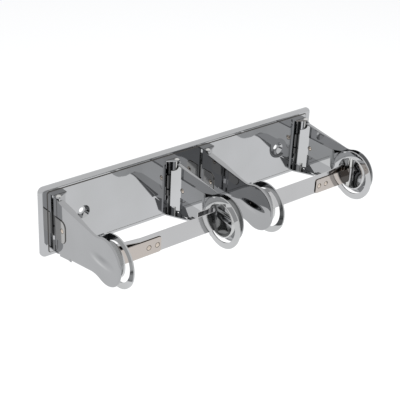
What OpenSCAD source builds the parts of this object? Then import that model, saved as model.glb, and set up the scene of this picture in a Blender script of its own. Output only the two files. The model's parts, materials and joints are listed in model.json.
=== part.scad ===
// Wall-mounted toilet tissue dispenser for two rolls, bright chromed sheet steel.
// X runs along the wall plate, the wall is the plane y = 0, the front faces -Y and Z is up.
// In an arm's own frame s is the distance inboard of its outer face,
// u is the distance in front of the wall and z is the height.

/* [Wall plate] */
// Width of the wall plate
plate_w = 324; // [318:1:360]
// Height of the wall plate
plate_h = 70; // [69:1:90]
// Sheet thickness of the wall plate
plate_sheet = 1; // [0.8:0.1:1.4]
// Distance from the wall to the front of the plate's outer rim
pan_depth = 4.2; // [3.8:0.1:6]
// Corner radius of the plate seen from the front
plate_corner_r = 5; // [4:0.5:7]
// Rounding between the plate's front and its edges
plate_edge_r = 3; // [2:0.1:3.4]
// Width of the flat rim at the two ends of the plate
rim_end_w = 7; // [5:0.5:8]
// Width of the flat rim along the top and the bottom
rim_side_w = 4.4; // [4:0.1:4.8]
// Height by which the middle field is pressed forward
field_rise = 0.6; // [0.4:0.1:1]
// Corner radius of the pressed field
field_corner_r = 2.5; // [1.5:0.1:4]

/* [Wall screws] */
// Distance from an end of the wall plate to its screw
screw_inset = 44; // [38:0.5:70]
// Bore for a wall screw
screw_hole_d = 5; // [4:0.1:6]
// Width of the dimple round a screw, at the plate's front
dimple_d = 13; // [12:0.5:16]
// Width of the dimple's flat floor
dimple_floor_d = 8; // [7:0.5:9]

/* [Roll bays] */
// Distance from an end of the wall plate to the outer face of its outer arm
end_margin = 11.7; // [10:0.1:13]
// Distance between the outer faces of the two middle arms
bay_gap = 32.4; // [30:0.1:36]
// Distance from the wall to the front of the roll rings
reach = 114; // [112:1:120]

/* [Arms] */
// Sheet thickness of the arms
arm_sheet = 1.2; // [1:0.1:1.4]
// Height of an arm's top edge at its rear end
arm_rise = 26.4; // [25:0.1:28]
// Depth of an arm's bottom edge at its rear end
arm_drop = 31.8; // [30.5:0.1:33]
// Fall of the top edge towards the front, in degrees
top_fall = 7.1; // [5:0.1:9]
// Rise of the bottom edge towards the front, in degrees
bottom_fall = 11.3; // [9:0.1:13]
// Radius of the round front end of an arm
disc_r = 22; // [21:0.5:23]
// Distance from the ring's centre back to the centre of the arm's round end
disc_setback = 3.4; // [2:0.1:3.6]
// Height of the hub's axis
hub_z = -0.5; // [-1.5:0.1:0.5]
// Radius of the hollow between the top edge and the round end
top_neck_r = 20; // [15:1:30]
// Radius of the hollow between the bottom edge and the round end
bottom_neck_r = 30; // [22:1:40]
// Width of the turned edge at its rear end, bend included
flange_w = 4.8; // [4:0.1:5.6]
// Width of the turned edge round the front end
rim_w = 1.6; // [1.5:0.1:3.6]

/* [Hinges] */
// Sheet thickness of the hinge brackets
bracket_sheet = 1.2; // [1:0.1:1.3]
// Reach of a hinge bracket inboard of the arm's outer face
bracket_w = 12.8; // [11:0.1:15]
// Gap between an arm's top edge and the upper lug
lug_gap = 0.4; // [0.3:0.1:0.6]
// Depth of the lower lug's top face
lower_lug_drop = 28; // [26:0.1:28.4]
// Distance from the wall to the tip of the lower lug
lower_lug_reach = 31; // [26:0.5:36]
// Depth of the upper lug at its inboard end
upper_lug_end = 3.7; // [3:0.1:6]
// Hinge pin diameter
pin_d = 2.4; // [2:0.1:2.6]
// Running clearance round a hinge pin, on the radius
pin_clear = 0.05; // [0.02:0.01:0.1]
// Hinge pin head diameter
pin_head_d = 5; // [4:0.1:5.6]
// Hinge pin head height
pin_head_h = 1.2; // [0.8:0.1:1.6]
// Distance from the plate's field to the hinge pin's axis
pin_stand = 6.5; // [6.4:0.1:7.5]
// Gap between a hinge pin and the inner face of its arm
pin_wall_gap = 0.1; // [0.1:0.05:0.3]
// Least gap between an arm's rear edge and its bracket while it swings
swing_gap = 0.3; // [0.2:0.05:0.5]
// Sheet thickness of the hinge leaves
leaf_sheet = 0.8; // [0.6:0.1:0.9]
// Length of a leaf in front of the hinge pin
leaf_len = 14.2; // [13:0.1:17]
// Height of a leaf's top edge
leaf_rise = 7.7; // [6:0.1:12]
// Depth of a leaf's bottom edge
leaf_drop = 14; // [12:0.1:18]
// Rounding of a leaf's front corners
leaf_corner_r = 5.8; // [3:0.1:8]

/* [Hinge springs] */
// Wire diameter
wire_d = 0.7; // [0.5:0.05:0.75]
// Gap between the coil and the hinge pin
coil_gap = 0.2; // [0.15:0.05:0.25]
// Number of coils
coils = 6; // [4:1:8]
// Rise of the wire in one coil
coil_pitch = 1.3; // [1.25:0.05:1.6]
// Depth of the lowest coil below the plate's middle line
coil_drop = 7; // [5:0.1:9]

/* [Roll rings] */
// Sheet thickness of the ring brackets
ring_sheet = 1.2; // [1:0.1:1.4]
// Outer radius of a roll ring
ring_r = 24.6; // [23:0.1:26]
// Width of the ring's flat band
ring_band = 6; // [5:0.1:6.4]
// Height of the ring's centre
ring_z = -1; // [-1.5:0.1:0.5]
// Distance from an arm's outer face to the roll side of its ring
ring_offset = 11.1; // [10:0.1:12.5]
// Height of the leg that carries the ring
leg_h = 19.5; // [16:0.5:21]
// Distance from the ring's centre back to the bend at the leg's front
leg_setback = 36.4; // [34:0.1:42]
// Distance from the ring's centre back to the second bend, at the ring's plane
jog_setback = 23.4; // [22.4:0.1:27]
// Distance from the ring's centre back to where the leg starts to widen
flare_setback = 29.4; // [28:0.1:33]
// Angle between the rear web and the arm, in degrees
web_angle = 38; // [34:1:44]
// Length of the rear web
web_len = 10.5; // [9:0.1:11.5]
// Height of the rear web's top edge
web_rise = 23; // [20:0.1:23.4]
// Depth of the rear web's bottom edge
web_drop = 24; // [22:0.1:26]
// Gap between the rear web and the hinge barrel
web_gap = 0.3; // [0.3:0.05:0.6]
// Radius of the hollow at the web's upper rear corner
web_cut_r = 5.5; // [4:0.1:7]

/* [Hub cups] */
// Outer radius of a hub cup
cup_r = 16.6; // [16:0.1:17.4]
// Sheet thickness of a hub cup
cup_sheet = 1.2; // [0.8:0.1:1.3]
// Gap between a cup's rim and the ring
cup_gap = 0.5; // [0.4:0.1:1]

/* [Roll bars] */
// Strip thickness
strip_t = 1; // [0.8:0.1:1.1]
// Strip height
strip_h = 19; // [17:0.5:20]
// Height of the folded tongue and its eye, level with the strip's bottom edge
tongue_h = 14.5; // [12:0.5:16]
// Rounding of the tongue's two free corners
tongue_corner_r = 2; // [1:0.1:4]
// Length over which the strip narrows to its eye
taper_run = 4; // [2:0.5:12]
// Cross pin diameter
cross_pin_d = 6; // [5:0.1:6.2]
// Distance from an arm's outer face to the cross pin's axis
cross_pin_in = 6.3; // [6.2:0.1:7]
// Distance from the hub's axis back to the cross pin's axis
cross_pin_back = 3.5; // [3:0.1:4.4]
// Running clearance of a bar on its cross pin, on the radius
eye_clear = 0.08; // [0.04:0.01:0.1]
// Distance by which the eye stands proud of the tongue's front
eye_proud = 1.6; // [1.2:0.1:2]
// Distance from the cross pin to the bend where the two layers meet
bend_run = 32; // [24:0.5:36]
// Length of the left bar's tongue from the cross pin
left_tongue = 53; // [44:0.5:58]
// Length of the right bar's tongue from the cross pin
right_tongue = 49; // [44:0.5:58]
// Outside radius of the bar's rolled nose
nose_r = 4.2; // [3.4:0.1:4.4]
// Length by which the nose passes the ring's roll side
nose_in = 1.3; // [0.8:0.1:1.5]
// Length of the nose's flat return
nose_return = 14; // [8:0.5:20]

/* [Rivets] */
// Shank diameter of all rivets
rivet_d = 2.8; // [2:0.1:3.2]
// Head diameter of all rivets
rivet_head_d = 4.2; // [3.8:0.1:4.6]
// Head height of all rivets
rivet_head_h = 0.8; // [0.5:0.1:1]
// Distance from the hinge pin forward to the arm's rivet
rivet_run = 9.9; // [9.7:0.1:11]
// Height of the arm's rivet
rivet_z = -1.5; // [-3:0.1:0]
// Distance between the two rivets of a bar
bar_rivet_pitch = 9; // [7:0.1:11]
// Distance from the left tongue's end to its first rivet
left_rivet_in = 4; // [3:0.1:8]
// Distance from the right tongue's end to its first rivet
right_rivet_in = 4.4; // [3:0.1:8]

/* [Hidden] */
$fn = 64;

// Places along the wall plate
outer_x = plate_w / 2 - end_margin;
inner_x = bay_gap / 2;
bay_w = outer_x - inner_x;
screw_x = plate_w / 2 - screw_inset;

// Hinge line in an arm's frame
field_u = pan_depth + field_rise;
bracket_u = field_u + bracket_sheet;
pin_r = pin_d / 2;
pin_s = arm_sheet + pin_wall_gap + pin_r;
pin_u = field_u + pin_stand;
swing_r = pin_stand - bracket_sheet - swing_gap;
rear_u = pin_u - sqrt(swing_r * swing_r - pin_s * pin_s);
pin_bore_r = pin_r + pin_clear;

// Leaf and barrel, which stay concentric with the pin
barrel_r = pin_s + leaf_sheet;
fit_gap = 0.3;
barrel_open = 75;

// Lugs above and below an arm
lug_low_z = arm_rise + lug_gap;
lug_top_z = lug_low_z + bracket_sheet;
lug_r = pin_head_d / 2 + 0.4;
lower_lug_z = -lower_lug_drop - bracket_sheet;
lower_clear_z = -lower_lug_drop + 0.5;
lower_clear_u = pin_u + lug_r + 1.3;
slot_u = pin_u - 1.8;
neck_steps = 10;
disc_steps = 48;

// Hub, ring and cup
ring_u = reach - ring_r;
hub_u = ring_u - disc_setback;
ring_hole_r = ring_r - ring_band;
ring_back = ring_offset - ring_sheet;
cup_end = ring_back - cup_gap;
cup_bore_r = cup_r - cup_sheet;
leg_end = ring_u - leg_setback;
jog_end = ring_u - jog_setback;
flare_u = ring_u - flare_setback;
flare_r = ring_r - 0.1;

// Rear web, which stands clear of the barrel
web_foot_u = pin_u + (barrel_r + web_gap - (arm_sheet - pin_s) * cos(web_angle)) / sin(web_angle);
web_end = [arm_sheet + web_len * sin(web_angle), web_foot_u - web_len * cos(web_angle)];
web_normal = [cos(web_angle), sin(web_angle)];
web_notch_z = -20;
web_notch_w = 4.5;

// Spring coil round the pin
wire_r = wire_d / 2;
coil_r = pin_r + coil_gap + wire_r;
coil_z = -coil_drop;
touch_gap = 0.05;
leg_rear_u = bracket_u + touch_gap;
leg_front_u = pin_u - touch_gap
  + (barrel_r + web_gap - (coil_r + wire_r) * cos(web_angle)) / sin(web_angle);
rings_per_coil = 8;
wire_sides = 6;

// Roll bar
cross_pin_r = cross_pin_d / 2;
cross_u = hub_u - cross_pin_back;
eye_in_r = cross_pin_r + eye_clear;
eye_r = eye_in_r + strip_t;
strip_rise = eye_in_r - eye_proud;
strip_front = cross_u + strip_rise;
bend_s = cross_pin_in + bend_run;
eye_mouth = asin(strip_rise / eye_in_r);
eye_leave = 360 + atan(strip_rise / bend_run) - acos(eye_in_r / norm([bend_run, strip_rise]));
tongue_root = (sqrt(pow(eye_in_r, 2) - pow(strip_rise, 2)) + sqrt(pow(eye_r, 2) - pow(strip_rise + strip_t, 2))) / 2;
nose_end = bay_w - ring_offset + nose_in;
nose_s = nose_end - nose_r;
nose_u = strip_front - nose_r;
strip_low = hub_z - strip_h / 2;
tongue_z = strip_low + tongue_h / 2;
curl_steps = 24;

// An arm's frame: side 1 faces its roll towards +X, side -1 towards -X
module at_arm(x, side) {
  translate([x, 0, 0])
    scale_side(side)
      children();
}

module scale_side(side) {
  if (side > 0) {
    children();
  } else {
    mirror([1, 0, 0])
      children();
  }
}

// A flat shape drawn in (u, z), thickened from s by t
module across(s, t) {
  translate([s, 0, 0])
    rotate([90, 0, 90])
      linear_extrude(t)
        mirror([1, 0])
          children();
}

// A flat shape drawn in (s, u), raised from z by h
module upright(z, h) {
  translate([0, 0, z])
    linear_extrude(h)
      mirror([0, 1])
        children();
}

// A flat shape drawn in (s, z), thickened from u by t
module facing(u, t) {
  translate([0, -u, 0])
    rotate([90, 0, 0])
      linear_extrude(t)
        children();
}

// A flat box given by its corners in (s, u, z)
module block(low, high) {
  translate([low[0], -high[1], low[2]])
    cube([high[0] - low[0], high[1] - low[1], high[2] - low[2]]);
}

module rounded_rect(w, h, r) {
  square([w - 2 * r, h], center = true);
  square([w, h - 2 * r], center = true);
  for (x = [-1, 1], z = [-1, 1])
    translate([x * (w / 2 - r), z * (h / 2 - r)])
      circle(r);
}

// A tray shape on the wall: corner radius c from the front, edge radius e in section
module tray(w, h, d, c, e) {
  facing(0, d - e)
    rounded_rect(w, h, c);
  facing(0, d) {
    square([w - 2 * c, h - 2 * e], center = true);
    square([w - 2 * e, h - 2 * c], center = true);
  }
  for (z = [-1, 1])
    translate([-(w / 2 - c), e - d, z * (h / 2 - e)])
      rotate([0, 90, 0])
        cylinder(h = w - 2 * c, r = e);
  for (x = [-1, 1])
    translate([x * (w / 2 - e), e - d, -(h / 2 - c)])
      cylinder(h = h - 2 * c, r = e);
  for (x = [-1, 1], z = [-1, 1])
    translate([x * (w / 2 - c), 0, z * (h / 2 - c)])
      rotate([90, 0, 0])
        rotate_extrude()
          tray_corner(d, c, e);
}

module tray_corner(d, c, e) {
  intersection() {
    square([c, d]);
    union() {
      square([c - e, d]);
      square([c, d - e]);
      translate([c - e, d - e])
        circle(e);
    }
  }
}

module plate_body() {
  difference() {
    union() {
      tray(plate_w, plate_h, pan_depth, plate_corner_r, plate_edge_r);
      tray(plate_w - 2 * rim_end_w, plate_h - 2 * rim_side_w, field_u, field_corner_r, field_rise);
    }
    translate([0, 1, 0])
      tray(plate_w - 2 * plate_sheet, plate_h - 2 * plate_sheet, pan_depth - plate_sheet + 1,
        plate_corner_r - plate_sheet, plate_edge_r - plate_sheet);
    translate([-plate_w, 0, -plate_h])
      cube([2 * plate_w, 2 * pan_depth, 2 * plate_h]);
  }
}

module dimple_cone(low_r, high_r, low, high) {
  translate([0, -low, 0])
    rotate([90, 0, 0])
      cylinder(h = high - low, r1 = low_r, r2 = high_r);
}

module back_plate() {
  floor_r = dimple_floor_d / 2;
  mouth_r = dimple_d / 2;
  slope = (mouth_r - floor_r) / (field_u - plate_sheet);
  color([0.78, 0.79, 0.81])
    difference() {
      union() {
        plate_body();
        for (x = [-1, 1])
          translate([x * screw_x, 0, 0])
            dimple_cone(floor_r + plate_sheet, mouth_r + plate_sheet, 0, field_u - plate_sheet / 2);
      }
      for (x = [-1, 1])
        translate([x * screw_x, 0, 0]) {
          dimple_cone(floor_r, mouth_r + slope, plate_sheet, field_u + 1);
          dimple_cone(screw_hole_d / 2, screw_hole_d / 2, -1, field_u);
        }
    }
}

module pin_point() {
  translate([pin_s, pin_u])
    children();
}

module upper_lug() {
  pin_point()
    circle(lug_r);
  polygon([
    [pin_s - lug_r, field_u],
    [bracket_w, field_u],
    [bracket_w, field_u + upper_lug_end],
    [pin_s + lug_r * sin(web_angle), pin_u + lug_r * cos(web_angle)],
    [pin_s - lug_r, pin_u]
  ]);
}

module lower_lug() {
  pin_point()
    circle(lug_r);
  polygon([
    [pin_s - lug_r, field_u],
    [bracket_w, field_u],
    [bracket_w, pin_u],
    [pin_s, lower_lug_reach],
    [arm_sheet + lug_gap, lower_lug_reach],
    [arm_sheet + lug_gap, pin_u],
    [pin_s - lug_r, pin_u]
  ]);
}

module hinge_bracket() {
  color([0.70, 0.71, 0.73])
    difference() {
      union() {
        block([pin_s, field_u, lower_lug_z], [bracket_w, bracket_u, lug_top_z]);
        upright(lug_low_z, bracket_sheet)
          upper_lug();
        upright(lower_lug_z, bracket_sheet)
          lower_lug();
      }
      upright(lower_lug_z - 1, lug_top_z - lower_lug_z + 2)
        pin_point()
          circle(pin_bore_r);
    }
}

module hinge_pin() {
  foot_h = 0.8;
  foot_r = pin_bore_r + 0.5;
  color([0.86, 0.86, 0.86]) {
    upright(lower_lug_z - foot_h, lug_top_z - lower_lug_z + foot_h)
      pin_point()
        circle(pin_r);
    upright(lower_lug_z - foot_h, foot_h)
      pin_point()
        circle(foot_r);
    translate([pin_s, -pin_u, lug_top_z])
      dome(pin_head_d / 2, pin_head_h);
  }
}

// A low dome standing on the plane z = 0
module dome(r, h) {
  ball_r = (r * r + h * h) / (2 * h);
  rotate_extrude()
    intersection() {
      square([r, h]);
      translate([0, h - ball_r])
        circle(ball_r, $fn = 256);
    }
}

// Centre line of the spring's wire, as [s, u, z, direction of the coil's radius]
coil_path = concat(
  [[pin_s + coil_r, leg_rear_u, coil_z, 0]],
  [for (i = [0 : coils * rings_per_coil])
    let (a = i * 360 / rings_per_coil)
      [pin_s + coil_r * cos(a), pin_u + coil_r * sin(a), coil_z + coil_pitch * i / rings_per_coil, a]],
  [[pin_s + coil_r, leg_front_u, coil_z + coil_pitch * coils, 0]]
);

function wire_point(c, k) =
  let (
    b = k * 360 / wire_sides,
    out = wire_r * cos(b),
    up = wire_r * sin(b)
  )
  [c[0] + out * cos(c[3]), -(c[1] + out * sin(c[3])), c[2] + up];

coil_points = [for (c = coil_path, k = [0 : wire_sides - 1]) wire_point(c, k)];
coil_rings = len(coil_path);
coil_sides = [for (i = [0 : coil_rings - 2], k = [0 : wire_sides - 1], half = [0, 1])
  let (
    a = i * wire_sides + k,
    b = i * wire_sides + (k + 1) % wire_sides
  )
  half == 0 ? [a, b, a + wire_sides] : [b, b + wire_sides, a + wire_sides]];
coil_ends = [for (k = [1 : wire_sides - 2], end = [0, 1])
  let (first = (coil_rings - 1) * wire_sides)
  end == 0 ? [0, k + 1, k] : [first, first + k, first + k + 1]];

coil_own_gap = min([for (
  i = [0 : (coils - 1) * rings_per_coil],
  k = [0 : wire_sides - 1],
  m = [0 : wire_sides - 1]
) norm(wire_point(coil_path[i + 1], k) - wire_point(coil_path[i + 1 + rings_per_coil], m))]);
echo(coil_own_gap = coil_own_gap);

module hinge_spring() {
  color([0.45, 0.46, 0.50])
    polyhedron(points = coil_points, faces = concat(coil_sides, coil_ends), convexity = 8);
}

module leaf_barrel() {
  pin_point()
    difference() {
      circle(barrel_r);
      circle(pin_s);
      polygon([
        [0, 0],
        [-3 * barrel_r, 0],
        [-3 * barrel_r, 3 * barrel_r],
        [3 * barrel_r * sin(barrel_open), 3 * barrel_r],
        [3 * barrel_r * sin(barrel_open), 3 * barrel_r * cos(barrel_open)]
      ]);
    }
}

module leaf_cap() {
  pin_point()
    difference() {
      circle(barrel_r);
      circle(pin_bore_r);
    }
}

module hinge_leaf() {
  leaf_h = leaf_rise + leaf_drop;
  leg_slot = wire_d + 1;
  color([0.74, 0.75, 0.77]) {
    difference() {
      upright(-leaf_drop, leaf_h)
        leaf_barrel();
      block([pin_s, 0, coil_z - leg_slot / 2], [pin_s + 2 * barrel_r, pin_u, coil_z + leg_slot / 2]);
    }
    for (z = [-leaf_drop, leaf_rise - leaf_sheet])
      upright(z, leaf_sheet)
        leaf_cap();
    difference() {
      across(-leaf_sheet, leaf_sheet)
        translate([pin_u, -leaf_drop])
          leaf_pad(leaf_len, leaf_h);
      rivet_hole();
    }
  }
}

module leaf_pad(l, h) {
  square([l - leaf_corner_r, h]);
  translate([0, leaf_corner_r])
    square([l, h - 2 * leaf_corner_r]);
  for (z = [leaf_corner_r, h - leaf_corner_r])
    translate([l - leaf_corner_r, z])
      circle(leaf_corner_r);
}

module rivet_hole() {
  across(-1 - leaf_sheet, arm_sheet + ring_sheet + leaf_sheet + 2)
    translate([pin_u + rivet_run, rivet_z])
      circle(rivet_d / 2 + pin_clear);
}

function arc(centre, r, from, to, steps) =
  [for (i = [0 : steps])
    let (a = from + (to - from) * i / steps)
      centre + r * [cos(a), sin(a)]];

function bearing(from, to) = atan2(to[1] - from[1], to[0] - from[0]);

function reversed(list) = [for (i = [len(list) - 1 : -1 : 0]) list[i]];

function flipped(list) = [for (p = list) [p[0], -p[1]]];

// Centre of the fillet between an edge that falls forward from z and the round end
function neck_centre(z, fall, hub, r, f) =
  let (
    along = [cos(fall), -sin(fall)],
    out = [sin(fall), cos(fall)],
    from = [rear_u, z],
    d = (hub - from) * out,
    t = (hub - from) * along - sqrt(pow(r + f, 2) - pow(f - d, 2))
  )
  from + along * t + out * f;

// Side shape of an arm, drawn in by a distance for its hollow
module arm_outline(inset) {
  top_z = arm_rise - inset / cos(top_fall);
  low_z = arm_drop - inset / cos(bottom_fall);
  r = disc_r - inset;
  top_f = top_neck_r + inset;
  low_f = bottom_neck_r + inset;
  tail = inset > 0 ? 1 : 0;
  hub = [hub_u, hub_z];
  low_hub = [hub_u, -hub_z];
  top_mid = neck_centre(top_z, top_fall, hub, r, top_f);
  low_mid = neck_centre(low_z, bottom_fall, low_hub, r, low_f);
  top_neck = arc(top_mid, top_f, -90 - top_fall, bearing(top_mid, hub), neck_steps);
  low_neck = arc(low_mid, low_f, -90 - bottom_fall, bearing(low_mid, low_hub), neck_steps);
  round_end = arc(hub, r, bearing(hub, top_mid), -bearing(low_hub, low_mid), disc_steps);
  polygon(concat(
    [[rear_u - tail, top_z + tail * tan(top_fall)]],
    top_neck,
    [for (i = [1 : disc_steps - 1]) round_end[i]],
    reversed(flipped(low_neck)),
    [[rear_u - tail, -low_z - tail * tan(bottom_fall)]]
  ));
}

module arm_shell() {
  far = reach + 10;
  high = arm_drop + 10;
  top_start = pin_u + lug_r + 0.8;
  low_start = lower_lug_reach + 1;
  color([0.80, 0.81, 0.83])
    difference() {
      across(0, flange_w)
        arm_outline(0);
      across(arm_sheet, flange_w)
        arm_outline(arm_sheet);
      upright(-high, 2 * high)
        polygon([
          [flange_w, low_start],
          [rim_w, hub_u - disc_r],
          [rim_w, far],
          [2 * flange_w, far],
          [2 * flange_w, low_start]
        ]);
      block([arm_sheet, 0, 0], [2 * flange_w, top_start, high]);
      block([arm_sheet, 0, -high], [2 * flange_w, low_start, 0]);
      block([-1, 0, -leaf_drop - fit_gap], [2 * flange_w, pin_u + barrel_r + fit_gap, leaf_rise + fit_gap]);
      block([-1, 0, -high], [2 * flange_w, slot_u, -leaf_drop]);
      block([-1, 0, -high], [2 * flange_w, lower_clear_u, lower_clear_z]);
      rivet_hole();
    }
}

module arm_rivet() {
  s0 = -leaf_sheet;
  s1 = arm_sheet + ring_sheet;
  color([0.84, 0.80, 0.76])
    translate([0, -pin_u - rivet_run, rivet_z]) {
      rotate([0, 90, 0])
        translate([0, 0, s0])
          cylinder(h = s1 - s0, r = rivet_d / 2);
      translate([s1, 0, 0])
        rotate([0, 90, 0])
          dome(rivet_head_d / 2, rivet_head_h);
      translate([s0, 0, 0])
        rotate([0, -90, 0])
          dome(rivet_head_d / 2, rivet_head_h);
    }
}

module web_profile() {
  polygon([
    [arm_sheet, web_foot_u],
    web_end,
    web_end + web_normal * ring_sheet,
    [arm_sheet + ring_sheet, web_foot_u + ring_sheet * (1 - cos(web_angle)) / sin(web_angle)]
  ]);
}

module leg_profile() {
  jog = atan((ring_back - arm_sheet) / (jog_end - leg_end));
  mitre = ring_sheet * tan(jog / 2);
  polygon([
    [arm_sheet, web_foot_u],
    [arm_sheet, leg_end],
    [ring_back, jog_end],
    [ring_back, ring_u],
    [ring_offset, ring_u],
    [ring_offset, jog_end - mitre],
    [arm_sheet + ring_sheet, leg_end - mitre],
    [arm_sheet + ring_sheet, web_foot_u + ring_sheet * (1 - cos(web_angle)) / sin(web_angle)]
  ]);
}

// Angle, seen from the ring's centre, at which a line from a corner of the leg touches the ring
function flare_angle(z) = bearing([0, 0], [-flare_setback, z]) - acos(flare_r / norm([flare_setback, z]));

function flare_touch(z) = [ring_u, 0] + flare_r * [cos(flare_angle(z)), sin(flare_angle(z))];

// Side shape of the leg, which widens to meet the ring
module leg_elevation() {
  half = leg_h / 2;
  top = flare_touch(half - ring_z);
  low = flare_touch(half + ring_z);
  polygon([
    [0, -half],
    [0, half],
    [flare_u, half],
    [top[0], ring_z + top[1]],
    [ring_u, ring_z],
    [low[0], ring_z - low[1]],
    [flare_u, -half]
  ]);
}

module ring_bracket() {
  color([0.72, 0.74, 0.77])
    difference() {
      union() {
        difference() {
          upright(-web_drop, web_rise + web_drop)
            web_profile();
          across(0, bracket_w)
            translate([web_end[1], web_rise])
              circle(web_cut_r);
          block([0, 0, -web_drop - 1], [bracket_w, web_end[1] + web_notch_w, web_notch_z]);
        }
        intersection() {
          upright(ring_z - ring_r, 2 * ring_r)
            leg_profile();
          across(0, ring_offset + 1)
            leg_elevation();
        }
        across(ring_back, ring_sheet)
          translate([ring_u, ring_z])
            circle(ring_r);
      }
      across(0, ring_offset + 1)
        translate([ring_u, ring_z])
          circle(ring_hole_r);
      rivet_hole();
    }
}

module hub_cup() {
  color([0.66, 0.67, 0.68])
    across(arm_sheet, cup_end - arm_sheet)
      translate([hub_u, hub_z])
        difference() {
          circle(cup_r);
          circle(cup_bore_r);
        }
}

module cross_pin() {
  color([0.86, 0.86, 0.86])
    intersection() {
      upright(hub_z - cup_r, 2 * cup_r)
        translate([cross_pin_in, cross_u])
          circle(cross_pin_r);
      across(arm_sheet, cup_end - arm_sheet)
        translate([hub_u, hub_z])
          circle(cup_bore_r);
    }
}

// Plan of the folded strip as one outline: eye, sloping rear layer, straight run, rolled nose and return
module strip_plan() {
  eye = [cross_pin_in, cross_u];
  nose = [nose_s, nose_u];
  mitre = strip_t * tan((eye_leave - 270) / 2);
  polygon(concat(
    arc(eye, eye_in_r, eye_mouth, eye_leave, curl_steps),
    [[bend_s, strip_front]],
    arc(nose, nose_r, 90, -90, curl_steps),
    [[nose_s - nose_return, nose_u - nose_r]],
    [[nose_s - nose_return, nose_u - nose_r + strip_t]],
    arc(nose, nose_r - strip_t, -90, 90, curl_steps),
    [[bend_s + mitre, strip_front - strip_t]],
    arc(eye, eye_r, eye_leave, eye_mouth, curl_steps)
  ));
}

// Height of the strip along its length, lower at the eye
module strip_elevation() {
  start = cross_pin_in + eye_r;
  polygon([
    [cross_pin_in - 2 * eye_r, strip_low],
    [nose_end + 1, strip_low],
    [nose_end + 1, strip_low + strip_h],
    [start + taper_run, strip_low + strip_h],
    [start, strip_low + tongue_h],
    [cross_pin_in - 2 * eye_r, strip_low + tongue_h]
  ]);
}

// Front of the tongue, from its root in the eye to its rounded corners
module tongue_shape(tongue) {
  root = cross_pin_in + tongue_root;
  tip = cross_pin_in + tongue;
  translate([root, strip_low])
    square([tip - root - tongue_corner_r, tongue_h]);
  translate([root, strip_low + tongue_corner_r])
    square([tip - root, tongue_h - 2 * tongue_corner_r]);
  for (z = [strip_low + tongue_corner_r, strip_low + tongue_h - tongue_corner_r])
    translate([tip - tongue_corner_r, z])
      circle(tongue_corner_r);
}

function bar_rivet_s(tongue, rivet_in) = cross_pin_in + tongue - rivet_in;

module bar_rivet_places(tongue, rivet_in) {
  for (i = [0, 1])
    translate([bar_rivet_s(tongue, rivet_in) - i * bar_rivet_pitch, 0, tongue_z])
      children();
}

module roll_bar(tongue, rivet_in) {
  color([0.82, 0.82, 0.86])
    difference() {
      union() {
        intersection() {
          upright(strip_low, strip_h)
            strip_plan();
          facing(cross_u - 4 * eye_r, 8 * eye_r)
            strip_elevation();
        }
        facing(strip_front, strip_t)
          tongue_shape(tongue);
      }
      bar_rivet_places(tongue, rivet_in)
        facing(strip_front - 2 * strip_t, 4 * strip_t)
          circle(rivet_d / 2 + pin_clear);
    }
}

module bar_rivets(tongue, rivet_in) {
  color([0.84, 0.80, 0.76])
    bar_rivet_places(tongue, rivet_in) {
      facing(strip_front - strip_t, 2 * strip_t)
        circle(rivet_d / 2);
      translate([0, -strip_front - strip_t, 0])
        rotate([90, 0, 0])
          dome(rivet_head_d / 2, rivet_head_h);
      translate([0, strip_t - strip_front, 0])
        rotate([-90, 0, 0])
          dome(rivet_head_d / 2, rivet_head_h);
    }
}

module left_outer() {
  at_arm(-outer_x, 1)
    children();
}

module left_inner() {
  at_arm(-inner_x, -1)
    children();
}

module right_inner() {
  at_arm(inner_x, 1)
    children();
}

module right_outer() {
  at_arm(outer_x, -1)
    children();
}

back_plate();
left_outer() hinge_bracket();  // left_outer_hinge_bracket
left_inner() hinge_bracket();  // left_inner_hinge_bracket
right_inner() hinge_bracket();  // right_inner_hinge_bracket
right_outer() hinge_bracket();  // right_outer_hinge_bracket
left_outer() hinge_pin();  // left_outer_hinge_pin
left_inner() hinge_pin();  // left_inner_hinge_pin
right_inner() hinge_pin();  // right_inner_hinge_pin
right_outer() hinge_pin();  // right_outer_hinge_pin
left_outer() hinge_spring();  // left_outer_hinge_spring
left_inner() hinge_spring();  // left_inner_hinge_spring
right_inner() hinge_spring();  // right_inner_hinge_spring
right_outer() hinge_spring();  // right_outer_hinge_spring
left_outer() hinge_leaf();  // left_outer_hinge_leaf
left_inner() hinge_leaf();  // left_inner_hinge_leaf
right_inner() hinge_leaf();  // right_inner_hinge_leaf
right_outer() hinge_leaf();  // right_outer_hinge_leaf
left_outer() arm_shell();  // left_outer_arm
left_inner() arm_shell();  // left_inner_arm
right_inner() arm_shell();  // right_inner_arm
right_outer() arm_shell();  // right_outer_arm
left_outer() arm_rivet();  // left_outer_arm_rivet
left_inner() arm_rivet();  // left_inner_arm_rivet
right_inner() arm_rivet();  // right_inner_arm_rivet
right_outer() arm_rivet();  // right_outer_arm_rivet
left_outer() ring_bracket();  // left_outer_ring_bracket
left_inner() ring_bracket();  // left_inner_ring_bracket
right_inner() ring_bracket();  // right_inner_ring_bracket
right_outer() ring_bracket();  // right_outer_ring_bracket
left_outer() hub_cup();  // left_outer_hub_cup
left_inner() hub_cup();  // left_inner_hub_cup
right_inner() hub_cup();  // right_inner_hub_cup
right_outer() hub_cup();  // right_outer_hub_cup
left_outer() cross_pin();  // left_cross_pin
right_outer() cross_pin();  // right_cross_pin
left_outer() roll_bar(left_tongue, left_rivet_in);  // left_roll_bar
right_outer() roll_bar(right_tongue, right_rivet_in);  // right_roll_bar
left_outer() bar_rivets(left_tongue, left_rivet_in);  // left_bar_rivets
right_outer() bar_rivets(right_tongue, right_rivet_in);  // right_bar_rivets
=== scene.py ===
"""Looks of a chromed wall dispenser for two toilet paper rolls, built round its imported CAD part.

X runs to the right along the wall plate, the wall is the plane y = 0, the front faces -Y and Z is up.
Lengths are in millimetres in the sizes below and in metres once a mesh is made.
"""

import json
import logging
import math
from dataclasses import dataclass, field
from enum import Enum
from typing import Sequence

import bmesh
import bpy
from mathutils import Matrix, Vector

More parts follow.
